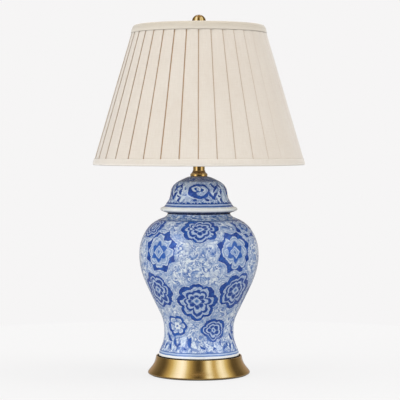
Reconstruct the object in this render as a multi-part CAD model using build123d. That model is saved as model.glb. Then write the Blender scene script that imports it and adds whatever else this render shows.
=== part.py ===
"""Ginger jar table lamp: flared brass base, blue and white porcelain jar with its lid, brass neck,
screw lamp holder with a turn switch, detachable harp, and a pleated empire shade under a ball finial.

Millimetres. +Z is up, -Y is the front. The origin is the centre of the underside of the base.
Every separate piece is one file in parts/, except that identical small screws share a file.
"""
from build123d import *
import math
import os

# ------------------------------------------------------------------ driving dimensions
TOTAL_H = 692.2            # top of the finial above the table

# shade: 10 inch top, 16 inch bottom, 11 inch slant
SHADE_Z0, SHADE_Z1 = 403.0, 672.0
SHADE_R1 = 125.1           # outside of the pleats, carried up to the top edge
SHADE_SLOPE = 0.2966       # radius gained for each mm down
COVER_T = 2.6              # pleated cloth, two layers at the overlaps
LINER_T = 0.6
WIRE_R = 1.9               # shade ring wire
TRIM_TOP_Z, TRIM_BOT_Z = 656.3, 416.5   # inner edges of the two binding bands
SPIDER_Z = 659.0           # seat of the spider washer on the harp
SPIDER_ARM_R = 1.5

# base
BASE_R, BASE_RIM_R, BASE_TOP_Z = 98.6, 81.6, 36.2
SHEET_T = 1.2
FELT_T, BOARD_T = 1.5, 2.0
PLATE_Z = 31.4             # top face of the base's seat plate
OUTLET_Z, OUTLET_R, BUSH_R = 24.0, 3.3, 5.0

# pipe, 1/8 IP: 9.7 mm outside
PIPE_R, PIPE_BORE_R = 4.85, 3.3
PIPE_Z0, PIPE_Z1 = 8.0, 437.0

# porcelain
JAR_Z0, JAR_Z1, JAR_T = 32.7, 311.0, 6.0
LID_SEAT_Z, LID_TOP_Z, LID_T = 312.0, 381.5, 5.0

# neck, holder, harp
NECK_R, NECK_Z0, NECK_Z1 = 11.25, 393.0, 423.0
SADDLE_Z = 430.0           # underside of the saddle
HARP_X, HARP_WIDE_X, HARP_TOP_Z, HARP_WIRE_R = 30.0, 57.0, 655.0, 1.75
HARP_FOOT_Z = 448.0        # where the harp's leg meets the saddle's stub
EYE_R, STUD_SHANK_R, STUD_R = 6.0, 3.2, 3.05   # eye in the harp's top, stud's shank, 1/4-27 thread
FERRULE_L, FERRULE_R, FERRULE_Z0 = 14.0, 3.3, 442.0
HOLDER_Z = 431.6           # underside of the lamp holder's cap
SWITCH_Z = 456.0           # axis of the turn switch
BULB_Z0, BULB_Z1, BULB_R = 464.0, 573.0, 30.0
FINIAL_R, FINIAL_CZ = 13.5, 678.7

os.makedirs("parts", exist_ok=True)
made = {}


def put(name, shape):
    """Writes one piece and keeps it for the interference prints below."""
    made[name] = shape
    export_step(shape, f"parts/{name}.step")


def p3(points):
    return [(float(r), 0.0, float(z)) for r, z in points]


def turned(*edges):
    """A solid of revolution about Z from edges drawn as (radius, 0, z)."""
    face = make_face(edges)
    solid = revolve(face, axis=Axis.Z, revolution_arc=360)
    return solid


def turned_poly(points):
    return turned(Polyline(*p3(points), close=True))


def ring(r0, r1, z0, z1):
    """A flat or tubular ring; r0 of 0 gives a disc."""
    body = Pos(0, 0, z0) * Cylinder(r1, z1 - z0, align=(Align.CENTER, Align.CENTER, Align.MIN))
    if r0 > 0:
        body -= Pos(0, 0, z0 - 1) * Cylinder(r0, z1 - z0 + 2, align=(Align.CENTER, Align.CENTER, Align.MIN))
    return body


def along_y(r, y0, y1, z, x=0.0):
    """A cylinder along Y from y0 to y1."""
    return Pos(x, y0, z) * Rot(-90, 0, 0) * Cylinder(r, y1 - y0, align=(Align.CENTER, Align.CENTER, Align.MIN))


def inset(points, t):
    """The profile moved t towards its right-hand side, seen from its first point to its last."""
    out = []
    n = len(points)
    for i in range(n):
        a, b = points[max(i - 1, 0)], points[min(i + 1, n - 1)]
        dx, dz = b[0] - a[0], b[1] - a[1]
        d = math.hypot(dx, dz)
        out.append((points[i][0] - dz / d * t, points[i][1] + dx / d * t))
    return out


def shade_r(z):
    return SHADE_R1 + SHADE_SLOPE * (SHADE_Z1 - z)


# ------------------------------------------------------------------ base
# spun sheet: rolled lip, concave flare, rolled rim, seat plate
flare = [(96.2, 1.5), (98.0, 2.4), (BASE_R, 4.1), (97.7, 6.5), (95.4, 9.6), (92.5, 13.0), (89.6, 16.9),
         (87.1, 21.0), (85.3, 25.3), (84.1, 29.3), (83.3, 33.0), (82.8, 35.0)]
flare_in = inset(flare, SHEET_T)
flare_in[0] = (95.4, 2.7)
rim_r = 80.3               # inside wall of the rim, which the jar's foot stands clear of
outer = Spline(*p3(flare))
over = ThreePointArc((82.8, 0, 35.0), (BASE_RIM_R, 0, BASE_TOP_Z), (rim_r, 0, 34.8))
inner = Spline(*p3(flare_in))
shell = turned(
    outer,
    over,
    Polyline(*p3([(rim_r, 34.8), (rim_r, PLATE_Z), (5.2, PLATE_Z), (5.2, PLATE_Z - SHEET_T),
                  (rim_r + 0.9, PLATE_Z - SHEET_T), (rim_r + 1.1, 32.2), flare_in[-1]])),
    inner,
    Polyline(*p3([flare_in[0], (88.0, 2.7), (88.0, 1.5), flare[0]])),
)
shell -= along_y(BUSH_R + 0.05, 60, 110, OUTLET_Z)
shell -= along_y(6.45, 88.75, 110, OUTLET_Z)    # seat for the bushing's flange
put("base_shell", shell)
put("base_felt", ring(0, 94.0, 0, FELT_T))
put("base_board", ring(0, 93.0, 2.7, 2.7 + BOARD_T))
weight_z0, weight_z1 = 18.0, PLATE_Z - SHEET_T
weight = turned_poly([(5.4, weight_z0), (68.0, weight_z0), (70.0, weight_z0 + 2), (70.0, weight_z1 - 2),
                      (68.0, weight_z1), (5.4, weight_z1)])
put("base_weight", weight)
put("base_lock_washer", ring(5.1, 9.0, weight_z0 - 1.4, weight_z0))
nut_z1 = weight_z0 - 1.4
nut = extrude(Pos(0, 0, nut_z1 - 5.5) * RegularPolygon(8.1, 6), 5.5)
nut -= ring(0, PIPE_R + 0.05, nut_z1 - 7, nut_z1 + 1)
put("base_nut", nut)

# insulating bushing for the mains lead, through the back of the flare
bush = along_y(BUSH_R, 76.0, 89.2, OUTLET_Z)
bush += along_y(6.4, 88.8, 91.0, OUTLET_Z)
bush -= along_y(OUTLET_R, 70.0, 95.0, OUTLET_Z)
put("cord_bushing", bush)

put("lamp_pipe", ring(PIPE_BORE_R, PIPE_R, PIPE_Z0, PIPE_Z1))
put("seat_gasket", ring(64.0, 75.0, PLATE_Z, JAR_Z0))

# ------------------------------------------------------------------ porcelain jar
jar_out = [(77.3, JAR_Z0 + 1.5), (77.6, 36.9), (77.1, 41.4), (74.6, 49.0), (71.0, 58.0), (68.3, 67.0), (66.9, 77.0),
           (66.7, 85.0), (67.6, 96.5), (70.4, 108.5), (76.4, 122.3), (84.0, 137.8), (91.6, 153.3),
           (99.0, 168.8), (105.6, 184.2), (110.8, 199.7), (114.0, 215.2), (115.1, 229.0), (114.6, 241.5),
           (112.4, 254.0), (108.3, 265.5), (102.5, 277.0), (93.2, 288.4), (82.6, 296.2), (71.5, 301.3),
           (64.4, 304.6), (61.0, 308.4), (60.5, JAR_Z1 - 0.8)]
jar_in = inset(jar_out, JAR_T)
jar_in = [p for p in jar_in if p[1] > JAR_Z0 + 14][:-1]
jar_in = [(jar_in[0][0], JAR_Z0 + 13.0)] + jar_in[1:] + [(54.0, JAR_Z1 - 6.0)]
jar = turned(
    Spline(*p3(jar_out)),
    ThreePointArc((60.5, 0, JAR_Z1 - 0.8), (60.2, 0, JAR_Z1 - 0.2), (59.5, 0, JAR_Z1)),
    Polyline(*p3([(59.5, JAR_Z1), (54.0, JAR_Z1), (54.0, JAR_Z1 - 6.0)])),
    Spline(*p3(jar_in)),
    Polyline(*p3([jar_in[0], (66.0, JAR_Z0 + 9.0), (7.0, JAR_Z0 + 9.0), (7.0, JAR_Z0 + 3.0), (62.0, JAR_Z0 + 3.0),
                  (64.0, JAR_Z0), (75.6, JAR_Z0), jar_out[0]])),
)
put("jar_body", jar)
put("lid_gasket", ring(54.2, 59.3, JAR_Z1, LID_SEAT_Z))

# lid: bell with a turned white lip, and a skirt that keeps it centred in the jar's mouth
lid_out = [(17.6, LID_TOP_Z), (22.0, 380.3), (29.5, 377.2), (37.6, 373.2), (44.1, 369.2), (48.4, 365.2),
           (51.4, 361.2), (53.4, 356.9), (54.5, 352.2), (55.0, 347.5), (55.8, 342.8), (57.4, 338.4),
           (59.8, 334.2), (62.3, 330.4), (64.4, 327.0), (66.4, 324.6)]
lip = [(66.4, 324.6), (70.6, 322.6), (73.6, 320.5), (74.3, 318.5), (73.0, 316.6), (69.0, 314.6), (64.6, 313.0), (61.6, LID_SEAT_Z)]
lid_in = [(49.0, 322.0), (49.3, 334.0), (49.4, 345.0), (48.9, 352.0), (46.9, 358.0), (43.0, 363.0),
          (36.6, 367.6), (28.0, 371.8), (18.0, 375.0), (5.3, 376.0)]
lid = turned(
    Line((5.3, 0, LID_TOP_Z), (17.6, 0, LID_TOP_Z)),
    Spline(*p3(lid_out)),
    Spline(*p3(lip)),
    Polyline(*p3([lip[-1], (52.4, LID_SEAT_Z), (51.8, 303.0), (48.0, 303.0), (49.0, 322.0)])),
    Spline(*p3(lid_in)),
    Line((5.3, 0, 376.0), (5.3, 0, LID_TOP_Z)),
)
put("jar_lid", lid)

# ------------------------------------------------------------------ brass neck
cap = turned(
    Polyline(*p3([(15.9, LID_TOP_Z), (16.5, 382.3), (16.6, 385.6), (16.1, 386.9)])),
    Spline(*p3([(16.1, 386.9), (14.4, 388.2), (12.9, 390.0), (12.1, NECK_Z0)])),
    Polyline(*p3([(12.1, NECK_Z0), (PIPE_R + 0.1, NECK_Z0), (PIPE_R + 0.1, LID_TOP_Z), (15.9, LID_TOP_Z)])),
)
put("vase_cap", cap)
put("neck_tube", ring(10.4, NECK_R, NECK_Z0, NECK_Z1))
neck_cap = turned_poly([(PIPE_R + 0.1, NECK_Z1), (12.6, NECK_Z1), (13.0, NECK_Z1 + 0.5), (13.0, NECK_Z1 + 2.3),
                        (11.6, NECK_Z1 + 3.5), (PIPE_R + 0.1, NECK_Z1 + 3.5)])
put("neck_cap", neck_cap)
neck_nut = extrude(Pos(0, 0, NECK_Z1 + 3.5) * RegularPolygon(8.1, 6), SADDLE_Z - NECK_Z1 - 3.5)
neck_nut -= ring(0, PIPE_R + 0.05, NECK_Z1 + 2, SADDLE_Z + 1)
put("neck_nut", neck_nut)

# ------------------------------------------------------------------ harp saddle, harp and ferrules
t = HOLDER_Z - SADDLE_Z
strap = [(-31.2, 441.0), (-31.2, 438.4), (-22.5, SADDLE_Z), (22.5, SADDLE_Z), (31.2, 438.4), (31.2, 441.0), (28.8, 441.0),
         (28.8, 439.3), (21.8, SADDLE_Z + t), (-21.8, SADDLE_Z + t), (-28.8, 439.3), (-28.8, 441.0)]
saddle = extrude(make_face(Polyline(*p3(strap), close=True)), 5.5, both=True)
saddle -= ring(0, PIPE_R + 0.1, SADDLE_Z - 1, SADDLE_Z + 4)
for sx in (-1, 1):
    saddle += Pos(sx * HARP_X, 0, 440.0) * Cylinder(HARP_WIRE_R, HARP_FOOT_Z - 440.0,
                                                     align=(Align.CENTER, Align.CENTER, Align.MIN))
    saddle += Pos(sx * HARP_X, 0, 440.0) * Cylinder(3.0, 2.0, align=(Align.CENTER, Align.CENTER, Align.MIN))
put("harp_saddle", saddle)

path = FilletPolyline(
    (HARP_X, 0, HARP_FOOT_Z), (HARP_X, 0, 478.0), (HARP_WIDE_X, 0, 548.0), (HARP_WIDE_X, 0, HARP_TOP_Z),
    (-HARP_WIDE_X, 0, HARP_TOP_Z), (-HARP_WIDE_X, 0, 548.0), (-HARP_X, 0, 478.0), (-HARP_X, 0, HARP_FOOT_Z),
    radius=[28.0, 90.0, 50.0, 50.0, 90.0, 28.0],
)
harp = sweep(Plane(origin=(HARP_X, 0, HARP_FOOT_Z), z_dir=(0, 0, 1)) * Circle(HARP_WIRE_R), path=path)
print("harp volume", round(harp.volume), "section x length", round(math.pi * HARP_WIRE_R ** 2 * path.length))
# the wire is flattened into an eye at the top, and the threaded stud swivels in it
eye_z0, eye_z1 = HARP_TOP_Z - 1.8, HARP_TOP_Z + 1.8
harp += ring(0, EYE_R, eye_z0, eye_z1)
harp -= ring(0, STUD_SHANK_R + 0.1, eye_z0 - 2, eye_z1 + 2)
stud = turned_poly([(0, eye_z0 - 2.4), (4.2, eye_z0 - 2.4), (5.0, eye_z0 - 1.7), (5.0, eye_z0 - 0.1), (STUD_SHANK_R, eye_z0 - 0.1),
                    (STUD_SHANK_R, eye_z1 + 0.1), (7.1, eye_z1 + 0.1), (7.5, eye_z1 + 0.5), (7.5, SPIDER_Z),
                    (STUD_R, SPIDER_Z), (STUD_R, 670.4), (STUD_R - 0.6, 671.0), (0, 671.0)])
put("harp", harp)
put("harp_stud", stud)
for side, sx in (("left", -1), ("right", 1)):
    ferrule = ring(HARP_WIRE_R + 0.08, FERRULE_R, FERRULE_Z0, FERRULE_Z0 + FERRULE_L)
    ferrule = fillet(ferrule.edges().filter_by(GeomType.CIRCLE).sort_by(SortBy.RADIUS)[-2:], 0.7)
    put(f"ferrule_{side}", Pos(sx * HARP_X, 0, 0) * ferrule)

# ------------------------------------------------------------------ lamp holder
holder_cap = turned(
    Polyline(*p3([(PIPE_R + 0.05, HOLDER_Z), (9.5, HOLDER_Z)])),
    Spline(*p3([(9.5, HOLDER_Z), (12.6, 433.0), (15.0, 436.2), (16.2, 441.0)])),
    Polyline(*p3([(16.2, 441.0), (16.2, 449.0), (15.5, 449.0), (15.5, 441.0)])),
    Spline(*p3([(15.5, 441.0), (14.3, 436.9), (12.1, 433.8), (9.3, 432.5)])),
    Polyline(*p3([(9.3, 432.5), (7.0, 432.5), (7.0, 437.0), (PIPE_R + 0.05, 437.0), (PIPE_R + 0.05, HOLDER_Z)])),
)
holder_cap -= Pos(0, 0, 434.8) * Rot(0, 90, 0) * Cylinder(1.6, 16, align=(Align.CENTER, Align.CENTER, Align.MIN))
put("socket_cap", holder_cap)
put("socket_set_screw", Pos(PIPE_R + 0.02, 0, 434.8) * Rot(0, 90, 0) * Cylinder(1.5, 6.5, align=(Align.CENTER, Align.CENTER, Align.MIN)))
shaft_hole = along_y(2.7, -30, -5, SWITCH_Z)
holder_shell = turned_poly([(14.75, 446.0), (15.4, 446.0), (15.4, 485.5), (16.3, 486.4), (16.3, 488.2), (15.6, 489.0),
                            (15.0, 489.0), (15.0, 488.3), (15.5, 487.8), (15.5, 486.8), (14.75, 486.0)])
put("socket_shell", holder_shell - shaft_hole)
put("socket_insulator", ring(14.1, 14.7, 447.0, 485.0) - shaft_hole)
body = ring(0, 14.0, 446.5, 464.0)
body -= Pos(0, 0, 446.5) * Box(7.5, 22.0, 5.0, align=(Align.CENTER, Align.CENTER, Align.MIN))
body -= along_y(2.2, -16, -2, SWITCH_Z)
for sx in (-1, 1):
    body -= Pos(sx * 14.0, 0, 453.0) * Rot(0, 90, 0) * Cylinder(3.6, 6.0)
put("socket_body", body)
screws = []
for sx in (-1, 1):
    head = Pos(sx * 11.1, 0, 453.0) * Rot(0, 90 * sx, 0) * Cylinder(3.2, 1.8, align=(Align.CENTER, Align.CENTER, Align.MIN))
    slot = Pos(sx * 12.9, 0, 453.0) * Box(1.2, 5.4, 0.8)
    screws.append(head - slot)
put("terminal_screws", Compound(screws))
# rolled thread as rings: crests at 13.9, roots at 13.3
wave = []
z = 466.0
while z < 484.6:
    wave += [(13.3, z), (13.75, z + 1.8)]
    z += 3.6
screw_shell = turned(
    Polyline(*p3([(wave[0][0], 464.3), wave[0]])),
    Spline(*p3(wave)),
    Polyline(*p3([wave[-1], (13.75, 485.6), (14.02, 485.6), (14.02, 464.0), (8.0, 464.0), (8.0, 464.3), (wave[0][0], 464.3)])),
)
put("socket_screw_shell", screw_shell)
tongue = Pos(-2.6, 0, 464.0) * Box(9.0, 5.0, 0.5, align=(Align.CENTER, Align.CENTER, Align.MIN))
put("socket_contact", tongue & ring(0, 7.6, 460, 470))

shaft = along_y(2.0, -24.5, -3.0, SWITCH_Z)
put("switch_shaft", shaft)
knob = revolve(
    make_face([
        Polyline((0, -22.0, 0), (5.2, -22.0, 0)),
        Spline((5.2, -22.0, 0), (6.9, -25.0, 0), (7.3, -30.0, 0), (6.3, -35.0, 0), (3.4, -37.6, 0), (0, -38.2, 0),
               tangents=((0.3, -1, 0), (-1, 0, 0))),
        Line((0, -38.2, 0), (0, -22.0, 0)),
    ]),
    axis=Axis.Y, revolution_arc=360,
)
for k in range(12):
    groove = Rot(0, 30 * k, 0) * (Pos(7.9, -30.0, 0) * Rot(90, 0, 0) * Cylinder(1.1, 20.0))
    knob -= groove
knob = Pos(0, 0, SWITCH_Z) * knob - along_y(2.0, -24.5, -20.0, SWITCH_Z)
put("switch_knob", knob)

# ------------------------------------------------------------------ bulb
glass_out = [(13.0, 489.5), (13.9, 495.0), (16.4, 502.5), (20.6, 511.0), (25.4, 520.5), (28.9, 531.0), (BULB_R, 542.0),
             (28.9, 552.5), (25.2, 562.0), (18.8, 568.8), (10.0, 572.2), (0, BULB_Z1)]
glass_in = [(12.0, 489.5), (12.9, 495.2), (15.4, 503.0), (19.7, 511.6), (24.4, 521.0), (27.9, 531.3), (BULB_R - 1, 542.0),
            (27.9, 552.2), (24.3, 561.2), (18.1, 567.9), (9.7, 571.2), (0, BULB_Z1 - 1)]
globe = turned(
    Spline(*p3(glass_out), tangents=((0.1, 0, 1), (-1, 0, 0))),
    Line((0, 0, BULB_Z1), (0, 0, BULB_Z1 - 1)),
    Spline(*p3(glass_in), tangents=((0.1, 0, 1), (-1, 0, 0))),
    Line((12.0, 0, 489.5), (13.0, 0, 489.5)),
)
put("bulb_globe", globe)
cap_wave = []
z = 469.2
while z < 485.0:
    cap_wave += [(12.5, z), (13.05, z + 1.8)]
    z += 3.6
bulb_cap = turned(
    Polyline(*p3([(0, 466.6), (7.2, 466.6), (9.0, 467.2), cap_wave[0]])),
    Spline(*p3(cap_wave)),
    Polyline(*p3([cap_wave[-1], (13.1, 487.4), (13.1, 489.5), (0, 489.5), (0, 466.6)])),
)
put("bulb_cap", bulb_cap)
put("bulb_contact", turned_poly([(0, 464.9), (2.6, 464.9), (4.3, 465.8), (6.8, 466.6), (0, 466.6)]))

# ------------------------------------------------------------------ shade
z0, z1 = 409.2, 668.2
put("shade_cover", turned_poly([(shade_r(z0) - COVER_T, z0), (shade_r(z0), z0), (shade_r(z1), z1), (shade_r(z1) - COVER_T, z1)]))
lo, hi = COVER_T + 0.05, COVER_T + 0.05 + LINER_T
z0, z1 = 405.4, 669.4
put("shade_liner", turned_poly([(shade_r(z0) - hi, z0), (shade_r(z0) - lo, z0), (shade_r(z1) - lo, z1), (shade_r(z1) - hi, z1)]))
tilt = math.cos(math.atan(SHADE_SLOPE))
ring_top_z, ring_bot_z = 667.3, 408.0
ring_top_r = shade_r(ring_top_z) - hi - WIRE_R / tilt - 0.05
ring_bot_r = shade_r(ring_bot_z) - hi - WIRE_R / tilt - 0.05
top_ring = Pos(0, 0, ring_top_z) * Torus(ring_top_r, WIRE_R)
frame = top_ring + ring(3.35, 14.0, SPIDER_Z, SPIDER_Z + 1.3)
arm_z = SPIDER_Z + 0.65
for k in range(3):
    bent = FilletPolyline((10.8, 0, arm_z), (108.0, 0, arm_z), (ring_top_r - 0.4, 0, ring_top_z), radius=12.0)
    arm = sweep(Plane(origin=(10.8, 0, arm_z), z_dir=(1, 0, 0)) * Circle(SPIDER_ARM_R), path=bent)
    frame += Rot(0, 0, 90 + 120 * k) * arm
frame -= ring(0, 9.6, SPIDER_Z - 3, SPIDER_Z) + ring(0, 9.6, SPIDER_Z + 1.3, SPIDER_Z + 6)
put("shade_top_frame", frame)
put("shade_bottom_ring", Pos(0, 0, ring_bot_z) * Torus(ring_bot_r, WIRE_R))

gap = 0.06
zt = TRIM_TOP_Z
in_r = ring_top_r - WIRE_R - 0.3
top_trim = turned(
    Spline(*p3([(shade_r(zt) + 0.9, zt), (130.35, 659.6), (129.3, 663.6), (127.7, 667.0), (125.0, 670.4), (121.6, 671.9),
                (118.9, 670.6), (in_r - 0.8, 667.0), (in_r - 0.8, 661.8)])),
    Polyline(*p3([(in_r - 0.8, 661.8), (in_r, 661.8), (in_r, 668.0), (in_r + 1.2, 670.0), (shade_r(670.0) - 1.6, 670.0),
                  (shade_r(668.6) + gap, 668.6), (shade_r(zt) + gap, zt), (shade_r(zt) + 0.9, zt)])),
)
# the spider's three arms pass under the inner edge of the band
for k in range(3):
    top_trim -= Rot(0, 0, 90 + 120 * k) * (Pos(112.0, 0, 662.0) * Box(20.0, 4.4, 14.6, align=(Align.CENTER, Align.CENTER, Align.CENTER)))
put("shade_top_trim", top_trim)
zb = TRIM_BOT_Z
in_b = ring_bot_r - WIRE_R - 0.3
bottom_trim = turned(
    Spline(*p3([(shade_r(zb) + 0.65, zb), (203.2, 411.3), (204.0, 407.4), (202.9, 404.3), (199.8, SHADE_Z0), (196.8, SHADE_Z0 + 0.5),
                (in_b - 0.8, 406.4), (in_b - 0.8, 413.6)])),
    Polyline(*p3([(in_b - 0.8, 413.6), (in_b, 413.6), (in_b, 405.4), (in_b + 1.6, 404.2), (shade_r(404.2) - 3.4, 404.1),
                  (shade_r(406.4) - 0.6, 406.4), (shade_r(408.6) + gap, 408.6), (shade_r(zb) + gap, zb), (shade_r(zb) + 0.65, zb)])),
)
put("shade_bottom_trim", bottom_trim)

# ------------------------------------------------------------------ finial
seat = SPIDER_Z + 1.3
finial_base = turned(
    Polyline(*p3([(3.15, seat), (7.2, seat), (7.6, seat + 0.6), (7.2, seat + 1.6)])),
    Spline(*p3([(7.2, seat + 1.6), (5.4, seat + 2.4), (4.9, seat + 3.8), (5.6, seat + 5.0)])),
    Polyline(*p3([(5.6, seat + 5.0), (6.2, seat + 5.6), (6.2, seat + 6.6), (4.2, seat + 6.6), (4.2, seat + 13.0), (3.15, seat + 13.0), (3.15, seat)])),
)
put("finial_base", finial_base)
ball = Pos(0, 0, FINIAL_CZ) * Sphere(FINIAL_R)
ball -= ring(0, 20.0, 640.0, seat + 6.6)
ball -= ring(0, 4.25, seat, seat + 13.1)
put("finial_ball", ball)

# ------------------------------------------------------------------ what the numbers come to
everything = Compound([s for s in made.values()])
box = everything.bounding_box()
print("pieces", len(made), "size", [round(v, 1) for v in (box.size.X, box.size.Y, box.size.Z)], "z", round(box.min.Z, 2), round(box.max.Z, 2))
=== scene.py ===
"""Ginger jar table lamp: finishes, pleated shade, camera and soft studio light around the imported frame."""
import bpy
import math
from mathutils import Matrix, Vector, noise


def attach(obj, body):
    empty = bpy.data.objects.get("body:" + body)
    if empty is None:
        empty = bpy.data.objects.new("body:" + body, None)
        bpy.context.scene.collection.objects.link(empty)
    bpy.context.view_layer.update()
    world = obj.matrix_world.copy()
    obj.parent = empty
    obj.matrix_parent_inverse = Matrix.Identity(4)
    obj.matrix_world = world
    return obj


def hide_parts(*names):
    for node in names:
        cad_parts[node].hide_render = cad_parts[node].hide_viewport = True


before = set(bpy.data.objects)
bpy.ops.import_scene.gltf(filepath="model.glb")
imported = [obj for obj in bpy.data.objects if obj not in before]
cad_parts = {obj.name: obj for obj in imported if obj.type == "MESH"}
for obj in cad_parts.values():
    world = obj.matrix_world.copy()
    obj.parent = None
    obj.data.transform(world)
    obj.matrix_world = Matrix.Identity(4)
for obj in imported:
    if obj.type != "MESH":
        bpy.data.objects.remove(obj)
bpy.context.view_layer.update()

scene = bpy.context.scene
MM = 0.001


# ------------------------------------------------------------------ small helpers
def lin(r, g, b, a=1.0):
    """An sRGB colour given 0-255, as the linear values that Blender wants."""
    out = []
    for c in (r, g, b):
        c /= 255.0
        out.append(c / 12.92 if c <= 0.04045 else ((c + 0.055) / 1.055) ** 2.4)
    return (out[0], out[1], out[2], a)


class Graph:
    """A thin layer over a node tree: every call adds one node and returns its output socket."""

    def __init__(self, tree):
        self.t = tree
        self.k = 0

    def node(self, kind, **props):
        n = self.t.nodes.new(kind)
        n.location = (180 * (self.k % 40), -220 * (self.k // 40))
        self.k += 1
        for key, value in props.items():
            setattr(n, key, value)
        return n

    def put(self, socket, value):
        if isinstance(value, bpy.types.NodeSocket):
            self.t.links.new(value, socket)
        elif value is not None:
            if hasattr(socket.default_value, "__len__") and not hasattr(value, "__len__"):
                value = [value] * len(socket.default_value)
            if hasattr(socket.default_value, "__len__") and len(socket.default_value) == 4 and len(value) == 3:
                value = (*value, 1.0)
            if hasattr(socket.default_value, "__len__") and len(socket.default_value) == 3 and len(value) == 4:
                value = value[:3]
            socket.default_value = value

    def math(self, op, a, b=None, c=None, clamp=False):
        n = self.node("ShaderNodeMath", operation=op, use_clamp=clamp)
        for i, v in enumerate((a, b, c)):
            if v is not None:
                self.put(n.inputs[i], v)
        return n.outputs[0]

    def add(self, a, b): return self.math("ADD", a, b)
    def sub(self, a, b): return self.math("SUBTRACT", a, b)
    def mul(self, a, b): return self.math("MULTIPLY", a, b)
    def div(self, a, b): return self.math("DIVIDE", a, b)
    def mad(self, a, b, c): return self.math("MULTIPLY_ADD", a, b, c)

    def vec(self, op, a, b=None, scale=None):
        n = self.node("ShaderNodeVectorMath", operation=op)
        self.put(n.inputs[0], a)
        if b is not None:
            self.put(n.inputs[1], b)
        if scale is not None:
            self.put(n.inputs["Scale"], scale)
        return n.outputs["Value"] if op in ("LENGTH", "DISTANCE", "DOT_PRODUCT") else n.outputs["Vector"]

    def xyz(self, v):
        n = self.node("ShaderNodeSeparateXYZ")
        self.put(n.inputs[0], v)
        return n.outputs

    def join(self, x, y, z):
        n = self.node("ShaderNodeCombineXYZ")
        for i, v in enumerate((x, y, z)):
            self.put(n.inputs[i], v)
        return n.outputs[0]

    def step(self, x, lo, hi, a=0.0, b=1.0):
        """Smooth step of x from lo to hi, as a value from a to b."""
        n = self.node("ShaderNodeMapRange", interpolation_type="SMOOTHSTEP")
        self.put(n.inputs[0], x)
        for i, v in enumerate((lo, hi, a, b)):
            self.put(n.inputs[i + 1], v)
        return n.outputs[0]

    def map(self, x, lo, hi, a=0.0, b=1.0):
        n = self.node("ShaderNodeMapRange")
        self.put(n.inputs[0], x)
        for i, v in enumerate((lo, hi, a, b)):
            self.put(n.inputs[i + 1], v)
        return n.outputs[0]

    def mix(self, f, a, b, mode="MIX"):
        n = self.node("ShaderNodeMix", data_type="RGBA", blend_type=mode, clamp_factor=True)
        self.put(n.inputs[0], f)
        self.put(n.inputs[6], a)
        self.put(n.inputs[7], b)
        return n.outputs[2]

    def mixv(self, f, a, b):
        n = self.node("ShaderNodeMix", data_type="VECTOR", clamp_factor=False)
        self.put(n.inputs[0], f)
        self.put(n.inputs[4], a)
        self.put(n.inputs[5], b)
        return n.outputs[1]

    def noise(self, v, scale, detail=2.0, rough=0.5, dist=0.0, colour=False):
        n = self.node("ShaderNodeTexNoise")
        self.put(n.inputs["Vector"], v)
        self.put(n.inputs["Scale"], scale)
        self.put(n.inputs["Detail"], detail)
        self.put(n.inputs["Roughness"], rough)
        self.put(n.inputs["Distortion"], dist)
        return n.outputs["Color" if colour else "Fac"]

    def voronoi(self, v, scale, feature="F1", rnd=1.0):
        n = self.node("ShaderNodeTexVoronoi", feature=feature)
        self.put(n.inputs["Vector"], v)
        self.put(n.inputs["Scale"], scale)
        self.put(n.inputs["Randomness"], rnd)
        return n.outputs

    def bump(self, height, strength, distance, normal=None):
        n = self.node("ShaderNodeBump")
        self.put(n.inputs["Height"], height)
        n.inputs["Strength"].default_value = strength
        n.inputs["Distance"].default_value = distance
        if normal is not None:
            self.put(n.inputs["Normal"], normal)
        return n.outputs[0]

    def coords(self):
        """Object coordinates in millimetres."""
        tc = self.node("ShaderNodeTexCoord")
        p = self.vec("SCALE", tc.outputs["Object"], scale=1000.0)
        return p

    def polar(self, p):
        x, y, z = self.xyz(p)
        phi = self.math("ARCTAN2", x, self.mul(y, -1.0))
        r = self.math("SQRT", self.add(self.mul(x, x), self.mul(y, y)))
        return phi, r, z


def material(name, **sockets):
    """A new material with one Principled shader; its constant values go on the shader's own sockets."""
    m = bpy.data.materials.new(name)
    m.use_nodes = True
    t = m.node_tree
    t.nodes.clear()
    g = Graph(t)
    out = g.node("ShaderNodeOutputMaterial")
    bsdf = g.node("ShaderNodeBsdfPrincipled")
    t.links.new(bsdf.outputs[0], out.inputs[0])
    for key, value in sockets.items():
        g.put(bsdf.inputs[key.replace("_", " ").title().replace("Ior", "IOR")], value)
    return m, g, bsdf


def dress(node, m):
    o = bpy.data.objects[node]
    for slot in o.material_slots:
        slot.material = m
    if not o.material_slots:
        o.data.materials.append(m)
    return o


def new_mesh(name, verts, faces, mat, body, slot, *replaced):
    me = bpy.data.meshes.new(name)
    me.from_pydata(verts, [], faces)
    me.validate()
    me.update()
    for p in me.polygons:
        p.use_smooth = True
    o = bpy.data.objects.new(name, me)
    scene.collection.objects.link(o)
    me.materials.append(mat)
    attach(o, body)
    if replaced:
        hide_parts(*replaced)
    return o


# ------------------------------------------------------------------ camera
F_PX, DIST, CAM_Z, PITCH = 1640.0, 3.1586, 0.4497, 2.060
cam = bpy.data.cameras.new("camera")
cam.sensor_width = 36.0
cam.lens = F_PX / 400.0 * 36.0
cam.clip_end = 50.0
cam_o = bpy.data.objects.new("camera", cam)
scene.collection.objects.link(cam_o)
cam_o.location = (0.0021, -DIST, CAM_Z)
cam_o.rotation_euler = (math.radians(90.0 - PITCH), 0.0, 0.0)
scene.camera = cam_o

# ------------------------------------------------------------------ light
scene.view_settings.view_transform = "Standard"
scene.view_settings.look = "None"
scene.view_settings.exposure = 0.0
scene.view_settings.gamma = 1.0

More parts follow.
